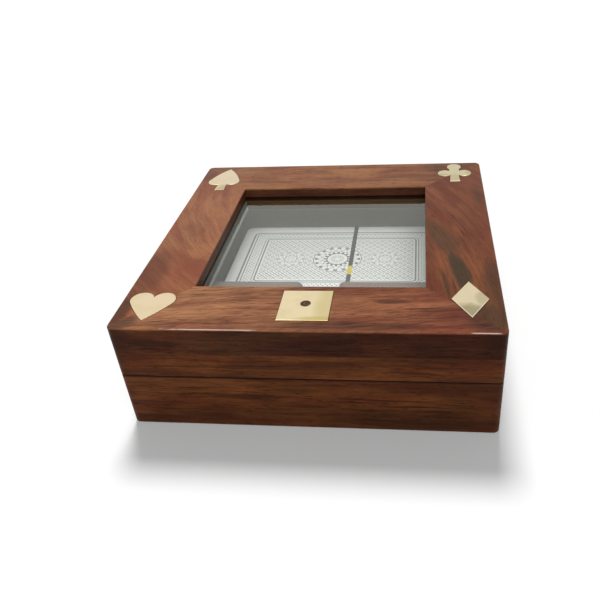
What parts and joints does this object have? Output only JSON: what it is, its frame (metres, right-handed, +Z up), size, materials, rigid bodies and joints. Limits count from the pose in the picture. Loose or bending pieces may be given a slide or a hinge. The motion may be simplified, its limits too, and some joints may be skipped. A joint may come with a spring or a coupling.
{
  "type": "playing card box with drawer",
  "caption": "Square hardwood box for a deck of cards: glazed hinged lid with brass suit inlays, lined card well, and a small drawer behind the lower front board.",
  "frame": {"origin": "middle of the box's underside, where it stands on the table", "axes": "+Z up, +X to the right seen from the front, front board towards -Y"},
  "size_m": [0.127, 0.1288, 0.0421],
  "materials": {
    "frame_rosewood": "lacquered, satin to gloss",
    "wall_rosewood": "lacquered, satin to gloss",
    "bottom_board": "plain oiled board",
    "plain_hardwood": "sanded, unlacquered",
    "grey_lining": "short flocked pile on board",
    "grey_felt": "felt",
    "window_glass": "clear, polished",
    "brass": "polished, lightly brushed",
    "pip_filler": "dark filler",
    "card_print": "printed card in clear wrap",
    "tear_strip": "thin film"
  },
  "bodies": {
    "base": {"base_bottom": "bottom_board", "base_wall_back": "wall_rosewood", "base_wall_left": "wall_rosewood", "base_wall_right": "wall_rosewood", "card_deck": "card_print", "card_divider": "grey_lining", "drawer_runner_left": "plain_hardwood", "drawer_runner_right": "plain_hardwood", "drawer_stop": "plain_hardwood", "hinge_left_base_leaf": "brass", "hinge_left_pin": "brass", "hinge_right_base_leaf": "brass", "hinge_right_pin": "brass", "hinge_screws_base": "brass", "liner_back": "grey_lining", "liner_left": "grey_lining", "liner_right": "grey_lining", "well_felt": "grey_felt", "wrap_tear_strip": "tear_strip"},
    "lid": {"die_pip": "pip_filler", "die_plate": "brass", "hinge_left_lid_leaf": "brass", "hinge_right_lid_leaf": "brass", "hinge_screws_lid": "brass", "inlay_club": "brass", "inlay_diamond": "brass", "inlay_heart": "brass", "inlay_spade": "brass", "lid_frame_back": "frame_rosewood", "lid_frame_front": "frame_rosewood", "lid_frame_left": "frame_rosewood", "lid_frame_right": "frame_rosewood", "lid_lining_back": "grey_lining", "lid_lining_front": "grey_lining", "lid_lining_left": "grey_lining", "lid_lining_right": "grey_lining", "lid_wall_back": "wall_rosewood", "lid_wall_front": "wall_rosewood", "lid_wall_left": "wall_rosewood", "lid_wall_right": "wall_rosewood", "window_glass": "window_glass"},
    "drawer": {"drawer_back": "plain_hardwood", "drawer_felt": "grey_felt", "drawer_floor": "plain_hardwood", "drawer_front": "wall_rosewood", "drawer_side_left": "plain_hardwood", "drawer_side_right": "plain_hardwood"}
  },
  "joints": [
    {"name": "lid_hinge", "type": "hinge", "parent": "base", "child": "lid", "pos_m": [0, 0.0626, 0.0218], "axis": [-1, 0, 0], "range_deg": [0, 100]},
    {"name": "drawer_slide", "type": "slide", "parent": "base", "child": "drawer", "axis": [0, -1, 0], "range_m": [0, 0.03]}
  ]
}
